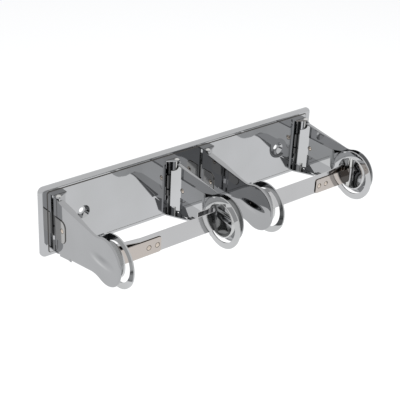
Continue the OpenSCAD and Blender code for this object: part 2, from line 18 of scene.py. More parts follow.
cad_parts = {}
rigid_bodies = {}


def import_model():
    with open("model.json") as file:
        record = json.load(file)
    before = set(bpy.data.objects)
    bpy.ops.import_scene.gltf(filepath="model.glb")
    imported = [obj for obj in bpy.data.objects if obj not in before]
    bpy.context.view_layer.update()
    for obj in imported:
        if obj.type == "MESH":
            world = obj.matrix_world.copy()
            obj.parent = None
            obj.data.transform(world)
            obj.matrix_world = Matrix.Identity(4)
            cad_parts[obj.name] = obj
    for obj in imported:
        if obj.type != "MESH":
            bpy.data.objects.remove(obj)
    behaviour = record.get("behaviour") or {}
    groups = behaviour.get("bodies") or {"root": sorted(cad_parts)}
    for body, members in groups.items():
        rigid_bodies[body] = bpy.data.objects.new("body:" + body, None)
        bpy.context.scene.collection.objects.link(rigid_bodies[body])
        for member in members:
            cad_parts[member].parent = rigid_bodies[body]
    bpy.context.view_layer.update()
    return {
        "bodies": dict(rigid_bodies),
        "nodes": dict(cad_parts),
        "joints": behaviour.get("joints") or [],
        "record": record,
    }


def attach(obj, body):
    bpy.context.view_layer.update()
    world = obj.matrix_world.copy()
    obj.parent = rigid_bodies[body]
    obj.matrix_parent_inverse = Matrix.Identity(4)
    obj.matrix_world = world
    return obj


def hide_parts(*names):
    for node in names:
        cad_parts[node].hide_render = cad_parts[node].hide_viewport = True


LOG = logging.getLogger("dispenser")
MM = 0.001

# The Mix node has sockets of every kind under the same names, so its colour sockets go by number.
MIX_SHARE, MIX_FIRST, MIX_SECOND = 0, 6, 7
MIX_RESULT = 2

Point2 = tuple[float, float]
Point3 = tuple[float, float, float]
Colour = tuple[float, float, float]
NodeSocket = bpy.types.NodeSocket
Material = bpy.types.Material
Piece = bpy.types.Object

WHITE: Colour = (1.0, 1.0, 1.0)


class Slot(Enum):
    """The record's material slots."""

    POLISHED = "polished_chrome"
    BAR = "bar_chrome"
    PIN = "pin_steel"
    RIVET = "rivet_steel"
    SPRING = "spring_steel"


class Side(Enum):
    """Which way an arm's roll lies along X."""

    TOWARDS_RIGHT = 1
    TOWARDS_LEFT = -1


class Place(Enum):
    """The four arms, each with the place of its outer face along X and the side of its roll."""

    LEFT_OUTER = ("left_outer", -150.3, Side.TOWARDS_RIGHT)
    LEFT_INNER = ("left_inner", -16.2, Side.TOWARDS_LEFT)
    RIGHT_INNER = ("right_inner", 16.2, Side.TOWARDS_RIGHT)
    RIGHT_OUTER = ("right_outer", 150.3, Side.TOWARDS_LEFT)

    @property
    def title(self) -> str:
        """The start of its nodes' names."""
        return self.value[0]

    def point(self, s: float, u: float, z: float) -> Point3:
        """Turns a place in the arm's own frame into one in the shared frame, in metres.

        Args:
            s: distance inboard of the arm's outer face.
            u: distance in front of the wall.
            z: height.

        Returns:
            The point, in metres.
        """
        _, x, side = self.value
        return ((x + side.value * s) * MM, -u * MM, z * MM)

    @property
    def mirrored(self) -> bool:
        """Whether the arm's frame is a mirror image."""
        return self.value[2] is Side.TOWARDS_LEFT


class NodeGraph:
    """A material's or world's node tree, filled by short calls."""

    def __init__(self, tree: bpy.types.NodeTree) -> None:
        """Takes over an emptied tree.

        Args:
            tree: the node tree to fill.
        """
        self.tree = tree
        self.tree.nodes.clear()

    def add(self, kind: str, **values: object) -> bpy.types.Node:
        """Adds a node and sets its properties and input sockets.

        Args:
            kind: the node's type name.
            values: properties by name, and inputs by name with spaces as underscores.

        Returns:
            The new node.
        """
        node = self.tree.nodes.new(kind)
        for name, value in values.items():
            if hasattr(node, name):
                setattr(node, name, value)
            else:
                node.inputs[name.replace("_", " ")].default_value = value
        return node

    def link(self, source: NodeSocket, target: NodeSocket) -> None:
        """Joins an output to an input."""
        self.tree.links.new(source, target)

    def noise(self, scale: float, detail: float, stretch: Point3 = (1.0, 1.0, 1.0)) -> NodeSocket:
        """Adds object-space noise.

        Args:
            scale: how many blobs to a metre.
            detail: octaves of finer noise.
            stretch: scale along each axis, for grain that runs one way.

        Returns:
            The noise value socket.
        """
        where = self.add("ShaderNodeTexCoord")
        mapping = self.add("ShaderNodeMapping", Scale=stretch)
        noise = self.add("ShaderNodeTexNoise", Scale=scale, Detail=detail)
        self.link(where.outputs["Object"], mapping.inputs["Vector"])
        self.link(mapping.outputs["Vector"], noise.inputs["Vector"])
        return noise.outputs["Fac"]

    def ramp(self, value: NodeSocket, stops: Sequence[tuple[float, Colour]]) -> NodeSocket:
        """Maps a value to a run between two colours.

        Args:
            value: the socket to map.
            stops: two positions from 0 to 1, each with its colour.

        Returns:
            The colour socket.
        """
        ramp = self.add("ShaderNodeValToRGB")
        for element, (place, colour) in zip(ramp.color_ramp.elements, stops):
            element.position = place
            element.color = (*colour, 1.0)
        self.link(value, ramp.inputs["Fac"])
        return ramp.outputs["Color"]

    def span(
        self, value: NodeSocket, low: float, high: float, start: float = 0.3, end: float = 0.7
    ) -> NodeSocket:
        """Stretches a value between two numbers.

        Args:
            value: the socket to map.
            low: result at start and below.
            high: result at end and above.
            start: value that gives low.
            end: value that gives high.

        Returns:
            The mapped socket.
        """
        node = self.add("ShaderNodeMapRange")
        ends = {"From Min": start, "From Max": end, "To Min": low, "To Max": high}
        for name, number in ends.items():
            node.inputs[name].default_value = number
        self.link(value, node.inputs["Value"])
        return node.outputs["Result"]

    def mixed(self, share: NodeSocket, first: NodeSocket, second: Colour) -> NodeSocket:
        """Lays a plain colour over another one.

        Args:
            share: 0 keeps the first colour, 1 gives the second.
            first: the colour underneath.
            second: the colour laid over it.

        Returns:
            The mixed colour.
        """
        mix = self.add("ShaderNodeMix", data_type="RGBA")
        self.link(share, mix.inputs[MIX_SHARE])
        self.link(first, mix.inputs[MIX_FIRST])
        mix.inputs[MIX_SECOND].default_value = (*second, 1.0)
        return mix.outputs[MIX_RESULT]

    def near(self, dent: "Dent") -> NodeSocket:
        """Adds a soft spot round a point.

        Args:
            dent: where the spot lies and how far it reaches.

        Returns:
            A socket that is 1 in the spot and 0 outside.
        """
        where = self.add("ShaderNodeTexCoord")
        away = self.add("ShaderNodeVectorMath", operation="SUBTRACT")
        away.inputs[1].default_value = tuple(v * MM for v in dent.centre)
        scaled = self.add("ShaderNodeVectorMath", operation="MULTIPLY")
        scaled.inputs[1].default_value = dent.plane
        size = self.add("ShaderNodeVectorMath", operation="LENGTH")
        self.link(where.outputs["Object"], away.inputs[0])
        self.link(away.outputs[0], scaled.inputs[0])
        self.link(scaled.outputs[0], size.inputs[0])
        soft = self.add("ShaderNodeMapRange", interpolation_type="SMOOTHSTEP")
        ends = {"From Min": dent.full * MM, "From Max": dent.none * MM, "To Min": 1.0, "To Max": 0.0}
        for name, number in ends.items():
            soft.inputs[name].default_value = number
        self.link(size.outputs["Value"], soft.inputs["Value"])
        return soft.outputs["Result"]

    def seam(self, line: "Seam", whole: bool = False) -> NodeSocket:
        """Adds a thin line round a rounded rectangle: painted shade beside a proud edge.

        Args:
            line: where it runs.
            whole: fills the rectangle instead.

        Returns:
            A socket that is 1 on the line and 0 elsewhere.
        """
        where = self.add("ShaderNodeTexCoord")
        core = [max(half - line.corner, 0.0) * MM for half in line.half]
        last = where.outputs["Object"]
        for operation, value in (
            ("SUBTRACT", tuple(v * MM for v in line.centre)),
            ("MULTIPLY", line.plane),
            ("ABSOLUTE", None),
            ("SUBTRACT", tuple(core)),
            ("MAXIMUM", (0.0, 0.0, 0.0)),
            ("LENGTH", None),
        ):
            node = self.add("ShaderNodeVectorMath", operation=operation)
            self.link(last, node.inputs[0])
            if value is not None:
                node.inputs[1].default_value = value
            last = node.outputs["Value"] if operation == "LENGTH" else node.outputs[0]
        near = self.add("ShaderNodeMath", operation="COMPARE")
        self.link(last, near.inputs[0])
        near.inputs[1].default_value = (line.corner / 2 if whole else line.corner + line.width / 2) * MM
        near.inputs[2].default_value = (line.corner if whole else line.width) / 2 * MM
        return near.outputs[0]


@dataclass(frozen=True)
class Dent:
    """The steel drawn in softly round a pressed hollow, in millimetres.

    It is whole up to the distance `full` from its centre and gone at `none`. `plane` is 1 along the
    two axes that the distance is taken in and 0 along the third.
    """

    centre: Point3
    plane: Point3
    full: float
    none: float
    depth: float


@dataclass(frozen=True)
class Seam:
    """A thin line of painted shade just outside a rounded rectangle or a rivet head, in millimetres.

    `plane` is 1 along the two axes that the line lies in and 0 along the third.
    """

    centre: Point3
    half: Point3
    corner: float
    plane: Point3
    width: float = 0.5


HEAD_R = 2.1
# Width of the painted shade round a rivet head.
HEAD_SHADE_WIDTH = 0.45
ACROSS_X: Point3 = (0.0, 1.0, 1.0)
ACROSS_Y: Point3 = (1.0, 0.0, 1.0)


def head_seam(centre: Point3, plane: Point3) -> Seam:
    """Gives the line of painted shade round a rivet head."""
    return Seam(centre, half=(HEAD_R, HEAD_R, HEAD_R), corner=HEAD_R, plane=plane, width=HEAD_SHADE_WIDTH)


@dataclass(frozen=True)
class Chrome:
    """Chrome plating on rolled steel: a mirror with a little haze, drift in tint, soft waves and thin lines
    of painted shade beside proud edges.
    """

    name: str
    tint: Colour = (0.55, 0.555, 0.56)
    deep: Colour = (0.515, 0.52, 0.515)
    drift_scale: float = 14.0
    drift_ends: Point2 = (0.35, 0.62)
    roughness: float = 0.02
    haze: float = 0.045
    wipe_scale: float = 160.0
    wave_scale: float = 22.0
    wave_depth: float = 0.10
    grain_scale: float = 900.0
    grain_depth: float = 0.001
    grain_strength: float = 0.6
    grain_stretch: Point3 = (1.0, 1.0, 1.0)
    speck: Colour = (0.42, 0.41, 0.38)
    pitting: float = 0.5
    pit_scale: float = 1400.0
    pit_ends: Point2 = (0.70, 0.78)
    dents: tuple[Dent, ...] = ()
    # The lines of painted shade beside proud edges, and their dark colour.
    seams: tuple[Seam, ...] = ()
    grime: Colour = (0.05, 0.042, 0.035)
    worn: tuple[Seam, ...] = ()
    worn_tint: Colour = (0.47, 0.43, 0.40)

    def build(self) -> Material:
        """Makes the material.

        Returns:
            The finished material.
        """
        material = bpy.data.materials.new(self.name)
        material.use_nodes = True
        graph = NodeGraph(material.node_tree)
        shader = graph.add("ShaderNodeBsdfPrincipled", Metallic=1.0)
        output = graph.add("ShaderNodeOutputMaterial")
        drift = graph.noise(self.drift_scale, detail=3.0)
        colour = graph.ramp(drift, list(zip(self.drift_ends, (self.deep, self.tint))))
        pits = graph.span(graph.noise(self.pit_scale, detail=2.0), 0.0, self.pitting, *self.pit_ends)
        wipe = graph.noise(self.wipe_scale, detail=4.0, stretch=self.grain_stretch)
        colour = graph.mixed(pits, colour, self.speck)
        for area in self.worn:
            colour = graph.mixed(graph.seam(area, whole=True), colour, self.worn_tint)
        # Painted shade: a dark line beside each proud edge and rivet head.
        for line in self.seams:
            colour = graph.mixed(graph.seam(line), colour, self.grime)
        graph.link(colour, shader.inputs["Base Color"])
        graph.link(graph.span(wipe, self.roughness, self.haze), shader.inputs["Roughness"])
        graph.link(self.relief(graph), shader.inputs["Normal"])
        graph.link(shader.outputs["BSDF"], output.inputs["Surface"])
        return material

    def relief(self, graph: NodeGraph) -> NodeSocket:
        """Adds soft waves, fine grain and the drawn-in steel round each dent.

        Args:
            graph: the material's tree.

        Returns:
            The normal socket.
        """
        waves = graph.add("ShaderNodeBump", Strength=1.0, Distance=self.wave_depth * MM)
        grain = graph.add("ShaderNodeBump", Strength=self.grain_strength, Distance=self.grain_depth * MM)
        graph.link(graph.noise(self.wave_scale, detail=1.0), waves.inputs["Height"])
        fine = graph.noise(self.grain_scale, detail=2.0, stretch=self.grain_stretch)
        graph.link(fine, grain.inputs["Height"])
        normal = waves.outputs["Normal"]
        for dent in self.dents:
            drawn = graph.add("ShaderNodeBump", invert=True, Strength=1.0, Distance=dent.depth * MM)
            graph.link(graph.near(dent), drawn.inputs["Height"])
            graph.link(normal, drawn.inputs["Normal"])
            normal = drawn.outputs["Normal"]
        graph.link(normal, grain.inputs["Normal"])
        return grain.outputs["Normal"]


class Finishes:
    """One material for each slot of the record, and those of the pieces with a finish of their own."""

    # Painted shade runs round these: the arm's rivet head, the leaf's pad, the plate's step, the tongues and
    # their rivet heads.
    rivet: Seam = head_seam((0.0, -21.2, -1.5), ACROSS_X)
    pad: Seam = Seam(centre=(0.0, -18.4, -3.15), half=(0.0, 7.1, 10.85), corner=5.8, plane=ACROSS_X)
    step: Seam = Seam(
        centre=(0.0, 0.0, 0.0), half=(154.4, 0.0, 30.0), corner=2.0, plane=ACROSS_Y, width=0.9,
    )
    tongues: tuple[Seam, ...] = (
        Seam(centre=(-115.75, 0.0, -2.75), half=(24.75, 0.0, 7.25), corner=2.0, plane=ACROSS_Y),
        Seam(centre=(117.75, 0.0, -2.75), half=(22.75, 0.0, 7.25), corner=2.0, plane=ACROSS_Y),
    )
    tongue_heads: tuple[Seam, ...] = tuple(
        head_seam((x, 0.0, -2.75), ACROSS_Y) for x in (-104.0, -95.0, 99.4, 108.4)
    )

    def __init__(self, dents: tuple[Dent, ...]) -> None:
        """Makes every finish.

        Args:
            dents: the drawn-in places round the wall plate's screw holes.
        """
        # The plate's step carries a line of painted shade.
        self.plate = Chrome(
            "plate_chrome", tint=(0.455, 0.46, 0.47), deep=(0.425, 0.43, 0.435),
            dents=dents, wave_depth=0.06, seams=(self.step,), grime=(0.10, 0.095, 0.09),
        ).build()
        # The arm's chrome is a darker copy of the plate's, painted shade for the dimmer reflections in its
        # faces, with painted shade round its rivet head and the leaf's pad.
        self.arm = Chrome(
            "arm_chrome", tint=(0.365, 0.369, 0.377), deep=(0.335, 0.339, 0.345),
            seams=(self.rivet, self.pad),
        ).build()
        # The hinge leaf's chrome is darkened the same way as painted shade, with painted shade round its
        # rivet head.
        self.hinge = Chrome(
            "hinge_chrome", tint=(0.40, 0.397, 0.39), deep=(0.36, 0.357, 0.35),
            roughness=0.05, haze=0.10, seams=(self.rivet,), pitting=0.2,
        ).build()
        self.cup = Chrome("cup_chrome", roughness=0.10, haze=0.16, wave_depth=0.02, pitting=0.1).build()
        by_slot = {
            # Painted shade round the rivet heads.
            Slot.POLISHED: Chrome(
                "polished_chrome", tint=(0.50, 0.505, 0.515), deep=(0.46, 0.465, 0.465), seams=(self.rivet,),
            ),
            # Painted shade round the tongues and their rivet heads; the tongues' fill is the worn tint.
            Slot.BAR: Chrome(
                "bar_chrome", tint=(0.47, 0.47, 0.475), deep=(0.44, 0.44, 0.445), roughness=0.05, haze=0.09,
                grain_scale=700.0, grain_depth=0.003, grain_stretch=(0.05, 1.0, 1.0), wave_depth=0.05,
                seams=self.tongues + self.tongue_heads, worn=self.tongues,
            ),
            Slot.PIN: Chrome(
                "pin_steel", tint=(0.60, 0.60, 0.59), deep=(0.50, 0.50, 0.49), roughness=0.10, haze=0.2,
            ),
            Slot.RIVET: Chrome(
                "rivet_steel", tint=(0.62, 0.55, 0.48), deep=(0.50, 0.43, 0.37), roughness=0.18, haze=0.3,
            ),
            Slot.SPRING: Chrome(
                "spring_steel", tint=(0.20, 0.20, 0.21), deep=(0.12, 0.12, 0.13), roughness=0.35, haze=0.5,
            ),
        }
        self.by_slot = {slot: finish.build() for slot, finish in by_slot.items()}


@dataclass(frozen=True)
class Edge:
    """The small rounding that rolling, punching and plating leave on an edge."""

    width: float
    segments: int
    from_angle: float

    def put(self, piece: Piece) -> None:
        """Rounds the edges of a piece and keeps its flats flat."""
        bevel = piece.modifiers.new("edge", "BEVEL")
        bevel.width = self.width * MM
        bevel.segments = self.segments
        bevel.limit_method = "ANGLE"
        bevel.angle_limit = math.radians(self.from_angle)
        bevel.harden_normals = True


class Kit:
    """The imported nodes, their record and the finishes, as each sub-assembly needs them."""

    def __init__(self, frame: dict, finishes: Finishes) -> None:
        """Keeps the frame and the finishes.

        Args:
            finishes: the materials.
        """
        self.nodes = frame["nodes"]
        self.finishes = finishes
        record = frame["record"]
        self.slots = {part["node"]: Slot(part["material_slot"]) for part in record["subparts"]}
        self.bodies = {
            name: body for body, names in record["behaviour"]["bodies"].items() for name in names
        }

    def finish(self, piece: Piece, slot: Slot, material: Material | None = None) -> None:
        """Gives a piece its material.

        Args:
            piece: the object to finish.
            slot: the record's slot.
            material: a finish of its own, where it has one.
        """
        piece.data.materials.clear()
        piece.data.materials.append(material or self.finishes.by_slot[slot])

    def dress(self, name: str, edge: Edge, material: Material | None = None) -> None:
        """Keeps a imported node's shape, rounds its edges and finishes it.

        Args:
            name: the node.
            edge: its rounding.
            material: a finish of its own, where it has one.
        """
        node = self.nodes[name]
        edge.put(node)
        self.finish(node, self.slots[name], material)
        LOG.info("dressed %s", name)

    def stand_in(self, piece: Piece, name: str, material: Material | None = None) -> None:
        """Lets a fuller piece take a node's place on its body.

        Args:
            piece: the new piece.
            name: the node that it stands for.
            material: a finish of its own, where it has one.
        """
        bpy.context.scene.collection.objects.link(piece)
        self.finish(piece, self.slots[name], material)
        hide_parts(name)
        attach(piece, self.bodies[name])
        LOG.info("built %s", piece.name)


def direction(degrees: float) -> Vector:
    """Gives the unit vector at an angle from the forward direction in (u, z)."""
    return Vector((math.cos(math.radians(degrees)), math.sin(math.radians(degrees))))


@dataclass(frozen=True)
class ArmSize:
    """Sizes of an arm, as in the part's source, and its wedge.

    Points are (distance in front of the wall, height). `rise` and `drop` are the edges' heights at
    the rear and the falls their slopes in degrees. The fields that end in `_steps`, `_rows` and
    `_columns` are counts of faces.
    """

    sheet: float = 1.2
    rear_u: float = 6.97
    rise: float = 26.4
    drop: float = 31.8
    top_fall: float = 7.1
    bottom_fall: float = 11.3
    hub: Point2 = (86.0, -0.5)
    disc_r: float = 22.0
    top_neck_r: float = 20.0
    bottom_neck_r: float = 30.0
    flange_w: float = 4.8
    rim_w: float = 1.6
    top_start: float = 15.0
    low_start: float = 32.0
    taper_end: float = 64.0
    fold_r: float = 2.2
    rim_fold_r: float = 1.45
    fold_lip: float = 0.1
    fold_steps: int = 6
    top_steps: int = 8
    neck_steps: int = 12
    round_steps: int = 56
    low_steps: int = 6
    leaf_notch: tuple[Point2, ...] = (
        (14.9, 8.0), (14.9, -14.3), (9.5, -14.3), (9.5, -27.5), (15.5, -27.5),
    )
    wedge: Point2 = (82.0, -1.5)
    wedge_half: Point2 = (20.0, 6.0)
    wedge_high: float = 1.5
    wedge_columns: int = 24
    wedge_rows: int = 14


@dataclass(frozen=True)
class Station:
    """A place on an arm's outline: its outward direction, and its turned edge's width and fold radius."""

    spot: Vector
    out: Vector
    turned: float
    fold: float


@dataclass
class Arm:
    """A pressed sheet arm with a softly folded turned edge, a round front end and a relieved rear."""

    place: Place
    size: ArmSize = field(default_factory=ArmSize)

    def neck(self, height: float, fall: float, hub: Vector, fillet: float) -> Vector:
        """Finds the centre of the hollow between a straight edge and the round end.

        Args:
            height: the edge's height at the rear.
            fall: the edge's fall towards the front, in degrees.
            hub: the round end's centre.
            fillet: the hollow's radius.

        Returns:
            The hollow's centre.
        """
        along = direction(-fall)
        out = direction(90.0 - fall)
        start = Vector((self.size.rear_u, height))
        reach = (hub - start).dot(out)
        run = (hub - start).dot(along) - math.sqrt((self.size.disc_r + fillet) ** 2 - (fillet - reach) ** 2)
        return start + along * run + out * fillet

    def station(self, spot: Vector, out: Vector) -> Station:
        """Adds the turned edge's width and fold at a place on the outline."""
        size = self.size
        share = min(max((spot.x - size.low_start) / (size.taper_end - size.low_start), 0.0), 1.0)
        turned = size.flange_w + (size.rim_w - size.flange_w) * share
        fold = size.fold_r + (size.rim_fold_r - size.fold_r) * share
        return Station(spot, out, turned, fold)

    def outline(self) -> list[Station]:
        """Walks the turned edge from its top rear start round the front to its bottom rear start.

        Returns:
            The stations in order.
        """
        size = self.size
        hub = Vector(size.hub)
        low_hub = Vector((hub.x, -hub.y))
        top = self.neck(size.rise, size.top_fall, hub, size.top_neck_r)
        low = self.neck(size.drop, size.bottom_fall, low_hub, size.bottom_neck_r)
        low = Vector((low.x, -low.y))
        stations = []
        end = top.x - size.top_neck_r * math.sin(math.radians(size.top_fall))
        for step in range(size.top_steps + 1):
            u = size.top_start + (end - size.top_start) * step / size.top_steps
            height = size.rise - (u - size.rear_u) * math.tan(math.radians(size.top_fall))
            stations.append(self.station(Vector((u, height)), direction(90.0 - size.top_fall)))
        to_top = math.degrees(math.atan2(top.y - hub.y, top.x - hub.x))
        to_low = math.degrees(math.atan2(low.y - hub.y, low.x - hub.x))
        for step in range(1, size.neck_steps + 1):
            sweep = to_top + 180.0 - (270.0 - size.top_fall)
            angle = (-90.0 - size.top_fall) + sweep * step / size.neck_steps
            stations.append(self.station(top + direction(angle) * size.top_neck_r, -direction(angle)))
        for step in range(1, size.round_steps):
            angle = to_top + (to_low - to_top) * step / size.round_steps
            stations.append(self.station(hub + direction(angle) * size.disc_r, direction(angle)))
        first = to_low + 180.0
        last = 90.0 + size.bottom_fall
        for step in range(size.neck_steps + 1):
            angle = first + (last - first) * step / size.neck_steps
            stations.append(self.station(low + direction(angle) * size.bottom_neck_r, -direction(angle)))
        start = stations[-1].spot
        for step in range(1, size.low_steps + 1):
            u = start.x + (size.low_start - start.x) * step / size.low_steps
            height = -size.drop + (u - size.rear_u) * math.tan(math.radians(size.bottom_fall))
            stations.append(self.station(Vector((u, height)), direction(-90.0 + size.bottom_fall)))
        return stations

    def section(self, station: Station) -> list[Point3]:
        """Runs from the turned edge's free end round the fold to the arm's face.

        Args:
            station: the place on the outline.

        Returns:
            Points in the arm's own frame.
        """
        fold = min(station.fold, station.turned - self.size.fold_lip)
        steps = self.size.fold_steps
        points = [(station.turned, 0.0)]
        for step in range(steps + 1):
            turn = math.radians(90.0 * step / steps)
            points.append((fold * (1.0 - math.sin(turn)), fold * (1.0 - math.cos(turn))))
        return [(s, *(station.spot - station.out * inset)) for s, inset in points]

    def wedge(self, mesh: bmesh.types.BMesh) -> list[bmesh.types.BMVert]:
        """Raises the wedge of the round end as a grid whose border lies in the arm's face.

        Args:
            mesh: the arm's skin.

        Returns:
            The grid's border, in order.
        """
        size = self.size
        grid = []
        for step in range(size.wedge_rows + 1):
            across = 2.0 * step / size.wedge_rows - 1.0
            row = []
            for stride in range(size.wedge_columns + 1):
                along = 2.0 * stride / size.wedge_columns - 1.0
                share = max(1.0 - math.hypot(along, across), 0.0)
                lift = size.wedge_high * share * share * (3.0 - 2.0 * share)
                u = size.wedge[0] + size.wedge_half[0] * along
                z = size.wedge[1] + size.wedge_half[1] * across
                row.append(mesh.verts.new(self.place.point(-lift, u, z)))
            grid.append(row)
        for low, high in zip(grid, grid[1:]):
            for k in range(size.wedge_columns):
                mesh.faces.new((low[k], low[k + 1], high[k + 1], high[k]))
        front = [row[-1] for row in grid[1:-1]]
        rear = [row[0] for row in grid[-2:0:-1]]
        return grid[0] + front + grid[-1][::-1] + rear

    def build(self, kit: Kit) -> None:
        """Makes the arm and lets it take its node's place.

        Args:
            kit: the nodes and finishes.
        """
        size = self.size
        rows = [self.section(station) for station in self.outline()]
        mesh = bmesh.new()
        grid = [[mesh.verts.new(self.place.point(*point)) for point in row] for row in rows]
        for near, far in zip(grid, grid[1:]):
            for k in range(len(near) - 1):
                mesh.faces.new((near[k], near[k + 1], far[k + 1], far[k]))
        top = rows[0][0]
        slope = math.tan(math.radians(size.bottom_fall))
        low_ends = (size.low_start, size.leaf_notch[-1][0])
        rear = [(u, (u - size.rear_u) * slope - size.drop) for u in low_ends]
        rear += list(reversed(size.leaf_notch))
        rear += [(size.rear_u, size.leaf_notch[0][1]), (size.rear_u, size.rise), (top[1], top[2])]
        loop = [row[-1] for row in grid] + [mesh.verts.new(self.place.point(0.0, u, z)) for u, z in rear]
        # The arm's face fills what lies between its own edge and the wedge.
        edges = []
        for ring in (loop, self.wedge(mesh)):
            for pair in zip(ring, ring[1:] + ring[:1]):
                edges.append(mesh.edges.get(pair) or mesh.edges.new(pair))
        bmesh.ops.triangle_fill(mesh, use_beauty=True, use_dissolve=False, edges=edges)
        bmesh.ops.recalc_face_normals(mesh, faces=mesh.faces[:])
        face = max(mesh.faces, key=lambda f: f.calc_area())
        if (face.normal.x > 0.0) != self.place.mirrored:
            bmesh.ops.reverse_faces(mesh, faces=mesh.faces[:])
        piece = sheet_piece(mesh, self.place.title + "_arm_sheet", size.sheet)
        kit.stand_in(piece, self.place.title + "_arm", kit.finishes.arm)


@dataclass(frozen=True)
class Hinge:
    """A hinge's bracket, pin, spring and leaf, with the rivet that holds the leaf."""

    place: Place
    stamped: Edge = Edge(width=0.3, segments=3, from_angle=40.0)
    turned: Edge = Edge(width=0.2, segments=2, from_angle=50.0)

    def dress(self, kit: Kit) -> None:
        """Finishes the hinge's nodes."""
        title = self.place.title
        kit.dress(f"{title}_hinge_bracket", self.stamped, kit.finishes.arm)
        kit.dress(f"{title}_hinge_leaf", self.stamped, kit.finishes.hinge)
        for part in ("hinge_pin", "hinge_spring", "arm_rivet"):
            kit.dress(f"{title}_{part}", self.turned)


@dataclass(frozen=True)
class RingSize:
    """Sizes of a ring bracket, as in the part's source, with the ring's slight rake and crown.

    `web_end` to `flare` are corners of the bracket seen from above, as (distance inboard of the
    arm's outer face, distance in front of the wall). The leg meets the ring between the directions
    `flare_top` and `flare_low`, in degrees.
    """

    sheet: float = 1.2
    web_end: Point2 = (7.67, 10.54)
    foot: Point2 = (1.2, 18.81)
    leg_end: Point2 = (1.2, 53.0)
    flare: Point2 = (5.88, 60.0)
    foot_fold: float = 2.5
    leg_middle: float = 36.0
    leg_fold: float = 7.0
    fold_steps: int = 6
    flare_shares: Point3 = (0.25, 0.5, 0.75)
    half: float = 9.75
    centre: Point2 = (89.4, -1.0)
    outer: float = 24.3
    hole: float = 18.6
    front: float = 11.1
    rake: float = 0.02
    crown: float = 0.007
    web_top: float = 23.0
    web_low: float = -24.0
    notch: Point2 = (4.5, -20.0)
    hollow: float = 5.5
    hollow_steps: int = 8
    flare_top: float = 121.4
    flare_low: float = 233.6
    rows: int = 24
    round_steps: int = 77
    radial_steps: int = 6


def bend(before: Vector, corner: Vector, after: Vector, radius: float, steps: int) -> list[Vector]:
    """Rounds a corner between two straight runs.

    Args:
        before: a point on the first run.
        corner: where the runs meet.
        after: a point on the second run.
        radius: the rounding.
        steps: pieces along the arc.

    Returns:
        Points along the arc, from the first run to the second.
    """
    back = (before - corner).normalized()
    ahead = (after - corner).normalized()
    half = back.angle(ahead) / 2
    middle = corner + (back + ahead).normalized() * radius / math.sin(half)
    first = corner + back * radius / math.tan(half) - middle
    last = corner + ahead * radius / math.tan(half) - middle
    whole = first.angle(last)
    points = []
    for step in range(steps + 1):
        share = step / steps
        near = math.sin((1.0 - share) * whole) / math.sin(whole)
        far = math.sin(share * whole) / math.sin(whole)
        points.append(middle + first * near + last * far)
    return points


